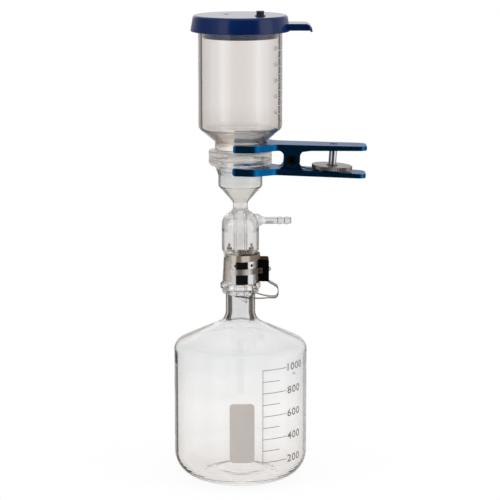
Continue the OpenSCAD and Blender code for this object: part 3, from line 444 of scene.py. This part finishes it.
bottle_glass = glass_material(
    "bottle_glass",
    [(0, 0, dimmed(clear, 0.965, 0.955, 0.948)),
     (22, 48, clear),
     (72, 88, dimmed(clear, 0.955, 0.96, 0.968)),
     (100, 108, dimmed(clear, 0.935, 0.945, 0.957)),
     (122, 128, dimmed(clear, 1.01, 1.01, 1.015)),
     (136, 143, dimmed(clear, 0.86, 0.86, 0.868)),
     (164, 166, clear)],
    warm_haze, 8.0,
    rims=[(1, 104, 55, wall_edge), (104, 116.5, 43, turn_edge), (116, 137, 20, slope_edge),
          (142, 165, 11, neck_edge)],
    ground=[(cone_low + 7, cone_high, 12.6, 15.0)],
    blown=[(164, 169, 11, 18, 0.5), (197, 203, 11, 16, 0.6)],
    lit_side=(20, 50, 0.5),
)
base_glass = glass_material(
    "base_glass",
    [(0, 0, lip_clear),
     (175, 177, dimmed(base_clear, 0.96, 0.92, 0.88)),
     (203, 206, dimmed(base_clear, 0.925, 0.925, 0.93)),
     (237, 240, dimmed(base_clear, 0.93, 0.925, 0.91)),
     (246, 249, dimmed(base_clear, 0.92, 0.915, 0.905)),
     (262, 265, dimmed(base_clear, 0.84, 0.86, 0.88)),
     (273.5, 275.5, flange_clear)],
    warm_haze, 6.0,
    rims=[(168, 176, 16.5, lip_edge), (176, 236, 15, chamber_edge), (205.5, 208.5, 16, step_edge),
          (208.5, 211.5, 16, step_high_edge), (200.5, 205.5, 15.5, step_low_edge), (238, 273, 5.5, stem_edge),
          (276, 284, 23, flange_edge)],
    inside=(7.4, 238, tube_clear),
    rings=(32.8, 38.6, 44.0),
    ground=[(176, 198.4, 12.9, 15.0)],
    blown=[(231, 241, 4, 10, 0.5), (221, 239, 14, 22, 0.5), (195, 204, 6, 18, 0.6), (274, 285, 12, 30, 0.5)],
    edges=[(239.8, 5, 9, stem_corner_shade), (247, 5, 8, faint_corner_shade), (277.5, 21, 26, flange_corner_shade),
           (279.6, 24, 28, flange_corner_shade), (283.9, 27, 28, ground_corner_shade)],
    bore=(227.7, 22, 29, bore_shade),
)
funnel_glass = glass_material(
    "funnel_glass",
    [(0, 0, flange_clear),
     (292.5, 294, dimmed(funnel_clear, 0.98, 0.945, 0.90)),
     (299, 301, dimmed(funnel_clear, 0.98, 0.925, 0.85)),
     (305, 309, dimmed(funnel_clear, 0.96, 0.95, 0.945)),
     (318, 330, funnel_clear)],
    warm_haze, 8.0,
    rims=[(285, 292, 26, flange_edge), (298, 312, 22, cone_edge), (312, 404, 34, funnel_edge)],
    blown=[(283, 293, 12, 30, 0.5), (295, 310, 18, 38, 0.22)],
    edges=[(284.8, 27, 28, ground_corner_shade), (291.1, 26, 28.5, flange_corner_shade), (293, 21, 24, flange_corner_shade),
           (299.3, 21, 24, neck_corner_shade)],
)

# ---- Plastic, metal and ink ----

# Lid and its vent plug; below lid_foot the lid is lighter, painted light where it sits in shade in the funnel
lid_foot = 393.8
navy = plastic_material("lid_plastic", linear(0, 24, 70), linear(0, 34, 84), (lid_foot, linear(26, 52, 98)))
knob_plastic = plastic_material("knob_plastic", linear(34, 26, 36), linear(50, 40, 50))

# Clamp
anodised = metal_material("clamp_blue", linear(4, 104, 164), linear(8, 122, 190), 0.30, (0.15, 1, 1),
                          Metallic=0.97, Specular_Tint=(0.80, 0.72, 0.66, 1.0))
stud_steel = metal_material("stud_steel", grey(0.90), grey(0.95), 0.30, (1, 1, 0.2))
dark_steel = metal_material("spring_steel", grey(0.30), grey(0.42), 0.3)
pin_metal = metal_material("pin_metal", linear(92, 74, 60), linear(124, 102, 84), 0.3, (1, 0.2, 1))
disc_metal = metal_material("disc_metal", linear(160, 151, 148), linear(178, 170, 166), 0.38)

# Clip, whose polish shows light and brown stripes from side to side, painted as reflection on band and straps
pale = linear(200, 190, 180)
brown = linear(120, 105, 90)
light_strap = linear(235, 230, 225)
dark_strap = linear(140, 130, 120)
band_reflection_stops = [(-4, pale), (-3, brown), (0, brown), (2, pale), (7, pale), (9, brown)]
strap_reflection_stops = [(-5, light_strap), (-2, dark_strap), (1, dark_strap), (5, light_strap), (8, light_strap),
               (11, brown)]
# The fork spring's tone darker towards its right end
fork_stops = [(25, grey(1.0)), (30, grey(0.30)), (34, grey(0.10))]
sleeve_inside = 16.4
band_foot = 195.2
polished = metal_material("polished_steel", grey(0.70), grey(0.78), 0.05, (1, 1, 0.3), 0.02,
                          satin=(sleeve_inside, band_foot, band_reflection_stops))
bracket_steel = metal_material("bracket_steel", grey(0.25), grey(0.32), 0.06, (1, 1, 0.3), 0.02,
                               Specular_Tint=(0.16, 0.13, 0.105, 1.0))
strap_steel = metal_material("strap_steel", grey(0.92), grey(1.0), 0.42, (0.2, 0.2, 1), 0.05, Metallic=0.6,
                             painted_tones=strap_reflection_stops)
fork_steel = metal_material("fork_steel", linear(140, 128, 120), linear(164, 152, 142), 0.25, (1, 0.3, 0.3),
                            painted_tones=fork_stops)

# Screen with its seal, and the printing
bright = metal_material("bright_steel", grey(0.72), grey(0.80), 0.14, (1, 1, 0.2))
white_plastic = seal_material()
ink = print_material("ink", linear(126, 121, 117))
pale_ink = print_material("pale_ink", linear(186, 182, 178))
patch_ink = print_material("patch_ink", linear(190, 183, 177))

of_node = {
    "bottle": bottle_glass,
    "filter_base": base_glass,
    "funnel": funnel_glass,
    "lid": navy,
    "lid_vent_plug": knob_plastic,
    "clamp_upper_arm": anodised,
    "clamp_lower_arm": anodised,
    "clamp_hinge_pin": pin_metal,
    "clamp_torsion_spring": dark_steel,
    "clamp_screw_stud": stud_steel,
    "clamp_thumb_disc": disc_metal,
    "clip_sleeve": polished,
    "clip_strap_front": strap_steel,
    "clip_strap_back": strap_steel,
    "clip_bracket": bracket_steel,
    "clip_fork_spring": fork_steel,
    "clip_strap_rivets": pin_metal,
    "clip_spring_rivet": bright,
    "clip_sleeve_rivets": pin_metal,
    "support_screen": bright,
    "screen_seal": white_plastic,
}
for name, material in of_node.items():
    mesh = nodes[name].data
    mesh.materials.clear()
    mesh.materials.append(material)

# ---- Torsion spring: the same wire, as a copy of the CAD part, which is hidden ----

wire = bpy.data.objects.new("torsion_spring_wire", nodes["clamp_torsion_spring"].data.copy())
bpy.context.scene.collection.objects.link(wire)
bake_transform(wire)
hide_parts("clamp_torsion_spring")

# ---- Printing on the glass ----


def on_glass(name, points, faces, radius, material, body="unit", slot="bottle_glass"):
    """A piece from flat points (arc from the front, height), wrapped round a cylinder of glass."""
    mesh = bpy.data.meshes.new(name)
    wrapped = [(radius * math.sin(x / radius) * MM, -radius * math.cos(x / radius) * MM, z * MM)
               for x, z in points]
    mesh.from_pydata(wrapped, [], faces)
    mesh.materials.append(material)
    piece = bpy.data.objects.new(name, mesh)
    bpy.context.scene.collection.objects.link(piece)
    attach(piece, body)


def strip_faces(count):
    """Faces between count + 1 columns of two points each."""
    return [(2 * i, 2 * i + 2, 2 * i + 3, 2 * i + 1) for i in range(count)]


def rounded_block(x0, x1, z0, z1, corner, corner_steps=8, steps=16):
    """Columns of a rounded rectangle, as points and faces."""
    inner = [x0 + corner + (x1 - x0 - 2 * corner) * i / steps for i in range(steps + 1)]
    turns = [math.pi / 2 * i / corner_steps for i in range(corner_steps)]
    left = [(x0 + corner - corner * math.cos(turn), corner * (1 - math.sin(turn))) for turn in turns]
    columns = left + [(x, 0.0) for x in inner] + [(x0 + x1 - x, drop) for x, drop in reversed(left)]
    points = [p for x, drop in columns for p in ((x, z0 + drop), (x, z1 - drop))]
    return points, strip_faces(len(columns) - 1)


def joined(parts):
    points, faces = [], []
    for some, these in parts:
        faces += [tuple(i + len(points) for i in face) for face in these]
        points += some
    return points, faces


def lettering(words, height, width, x, z, align="LEFT", gap=0.8):
    """Flat points and faces of a few characters, standing at x, centred on the height z, width for each."""
    data = bpy.data.curves.new("words", "FONT")
    data.body = words
    data.size = height / 0.70
    data.space_character = 1.12
    data.resolution_u = 4
    data.offset = height * 0.02
    piece = bpy.data.objects.new("words", data)
    bpy.context.scene.collection.objects.link(piece)
    bpy.context.view_layer.update()
    mesh = bpy.data.meshes.new_from_object(piece.evaluated_get(bpy.context.evaluated_depsgraph_get()))
    across = [v.co.x for v in mesh.vertices]
    up = [v.co.y for v in mesh.vertices]
    left, right, middle = min(across), max(across), (max(up) + min(up)) / 2
    length = width * len(words) - gap
    spread = length / (right - left)
    start = x if align == "LEFT" else x - length
    points = [(start + (v.co.x - left) * spread, z + v.co.y - middle) for v in mesh.vertices]
    faces = [tuple(p.vertices) for p in mesh.polygons]
    bpy.data.objects.remove(piece)
    bpy.data.curves.remove(data)
    bpy.data.meshes.remove(mesh)
    return points, faces


def bar(x0, x1, z0, z1, longest=2):
    """A printed line, cut into short lengths so that it follows the glass."""
    steps = max(1, math.ceil((x1 - x0) / longest))
    xs = [x0 + (x1 - x0) * i / steps for i in range(steps + 1)]
    points = [p for x in xs for p in ((x, z0), (x, z1))]
    return points, strip_faces(steps)


def print_bottle():
    """The writing patch, and a scale from 200 to 1000 mL, ticked for each 100 and numbered for each 200."""
    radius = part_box("bottle")[1].x / MM + 0.06
    patch_left, patch_right, patch_low, patch_high, patch_corner = -9.2, 12.4, 26.8, 79.4, 3.4
    patch = rounded_block(patch_left, patch_right, patch_low, patch_high, patch_corner)
    on_glass("writing_patch", *patch, radius, patch_ink)

    left, low = 19.9, 26.0
    spacing, last = 10.25, 8
    half = 0.55 / 2
    long_tick, short_tick = 24.0, 16.5
    high = low + last * spacing
    parts = [bar(left - half, left + half, low - half, high + half)]
    for i in range(last + 1):
        z = low + i * spacing
        numbered = i % 2 == 0
        parts.append(bar(left, left + (long_tick if numbered else short_tick), z - half, z + half))
        if numbered:
            parts.append(lettering(str(200 + 100 * i), 6.4, 5.3 if i == last else 6.0, left + 25.3, z))
    parts.append(lettering("mL", 2.6, 2.6, left + 32.0, high - 6.6))
    on_glass("bottle_scale", *joined(parts), radius, ink)


def print_funnel():
    """A scale from 100 to 300 mL on the funnel's right side, with a number for every second tick."""
    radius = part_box("funnel")[1].x / MM + 0.05
    left, right, low = 40.0, 50.0, 325.1
    spacing, last = 6.81, 8
    half = 0.3
    ticks, digits = [], []
    for i in range(last + 1):
        z = low + i * spacing
        ticks.append(bar(left, right, z - half, z + half))
        if i % 2 == 0:
            digits.append(lettering(str(100 + 25 * i), 3.2, 1.9, left - 1.6, z + 1.8, "RIGHT"))
    on_glass("funnel_ticks", *joined(ticks), radius, pale_ink, slot="funnel_glass")
    on_glass("funnel_digits", *joined(digits), radius, ink, slot="funnel_glass")


print_bottle()
print_funnel()

# ---- Floor, light and world ----

# What polished metal and glass mirror, as (angle from the front, brightness): dark in front, a tall light at
# each side. Below the eye the white backdrop is narrow, above it is wide
LOW_ROOM = [(-180, 1.0), (-164, 0.9), (-156, 0.15), (-122, 0.1), (-112, 0.35), (-84, 0.3), (-55, 0.3),
            (-48, 0.75), (-31, 0.8), (-25, 0.008), (44, 0.008), (50, 1.0), (78, 1.0), (86, 0.4), (112, 0.35),
            (122, 0.1), (156, 0.15), (164, 0.9), (180, 1.0)]
HIGH_ROOM = [(-180, 1.0), (-164, 1.0), (-140, 0.4), (-110, 0.15), (-84, 0.2), (-55, 0.3), (-48, 0.75),
             (-31, 0.8), (-25, 0.008), (44, 0.008), (50, 1.0), (78, 1.0), (86, 0.4), (150, 0.6), (180, 1.0)]


def room(tree, way, sides):
    """The brightness that a ray meets in the room's sides, by the angle that it turns from the front."""
    apart = tree.add("ShaderNodeSeparateXYZ", {"Vector": way})
    ahead = tree.maths("MULTIPLY", apart.outputs["Y"], -1.0)
    turn = tree.maths("DIVIDE", tree.maths("ARCTAN2", apart.outputs["X"], ahead), 2 * math.pi)
    stops = [(0.5 + angle / 360, grey(level)) for angle, level in sides]
    return tree.ramp(tree.maths("ADD", turn, 0.5), *stops)


def floor(half=14.0, drop=0.0004):
    """A wide pale floor that the camera sees as white, but for a faint shadow near the object."""
    mesh = bpy.data.meshes.new("floor")
    corners = [(-half, -half, -drop), (half, -half, -drop), (half, half, -drop), (-half, half, -drop)]
    mesh.from_pydata(corners, [], [(0, 1, 2, 3)])
    material = bpy.data.materials.new("floor")
    tree = Tree(material)
    shader = tree.nodes["Principled BSDF"]
    shader.inputs["Base Color"].default_value = grey(0.86)
    shader.inputs["Roughness"].default_value = 0.9
    path = tree.add("ShaderNodeLightPath")
    away = tree.radius(tree.add("ShaderNodeTexCoord").outputs["Object"])
    white = tree.add("ShaderNodeEmission", {"Color": grey(1.0), "Strength": 1.0})
    near = tree.maths("ADD", 0.94, tree.times(tree.step(away, 0.05, 0.22), 0.06))
    seen = tree.times(path.outputs["Is Camera Ray"], near)
    mixed = tree.add("ShaderNodeMixShader", {0: seen, 1: shader.outputs[0], 2: white.outputs[0]})
    tree.links.new(mixed.outputs[0], tree.nodes["Material Output"].inputs["Surface"])
    mesh.materials.append(material)
    plane = bpy.data.objects.new("floor", mesh)
    plane.visible_glossy = False
    plane.visible_transmission = False
    bpy.context.scene.collection.objects.link(plane)


def area(name, place, width, height, power, target=(0, 0, 0.2)):
    """A soft lamp that looks at the middle of the object and isn't mirrored by it."""
    data = bpy.data.lights.new(name, "AREA")
    data.shape = "RECTANGLE"
    data.size = width
    data.size_y = height
    data.energy = power
    lamp = bpy.data.objects.new(name, data)
    lamp.location = place
    lamp.rotation_euler = (Vector(target) - Vector(place)).to_track_quat("-Z", "Y").to_euler()
    lamp.visible_glossy = False
    lamp.visible_transmission = False
    bpy.context.scene.collection.objects.link(lamp)


def world():
    """Soft even light, with the room for mirrored rays and white for what the camera sees."""
    made = bpy.data.worlds.new("studio")
    bpy.context.scene.world = made
    tree = Tree(made)
    soft = tree.nodes["Background"]
    soft.inputs["Color"].default_value = grey(1.0)
    soft.inputs["Strength"].default_value = 0.5
    path = tree.add("ShaderNodeLightPath")
    way = tree.add("ShaderNodeTexCoord").outputs["Generated"]
    up = tree.along(way, "Z")
    # Polished metal and glass mirror the room, and clear glass turns some rays up to its dim ceiling
    sides = tree.mix(tree.step(up, -0.02, 0.02), room(tree, way, LOW_ROOM), room(tree, way, HIGH_ROOM))
    with_ceiling = tree.mix(tree.step(up, 0.35, 0.75), sides, grey(0.45))
    beyond = tree.mix(tree.step(up, 0.3, 0.5), grey(1.0), grey(0.55))
    mirrored = tree.add("ShaderNodeBackground", {"Color": with_ceiling})
    through = tree.add("ShaderNodeBackground", {"Color": beyond})
    white = tree.add("ShaderNodeBackground", {"Color": grey(1.0)})
    shown = soft.outputs[0]
    for ray, background in (("Is Glossy Ray", mirrored), ("Is Transmission Ray", through),
                            ("Is Camera Ray", white)):
        values = {0: path.outputs[ray], 1: shown, 2: background.outputs[0]}
        shown = tree.add("ShaderNodeMixShader", values).outputs[0]
    tree.links.new(shown, tree.nodes["World Output"].inputs["Surface"])


floor()
world()
area("left_window", (-1.3, -0.7, 0.75), 0.6, 1.2, 13)
area("right_window", (1.2, -0.5, 0.8), 0.6, 1.1, 9)
area("overhead", (0.1, -0.2, 1.7), 1.0, 1.0, 11)
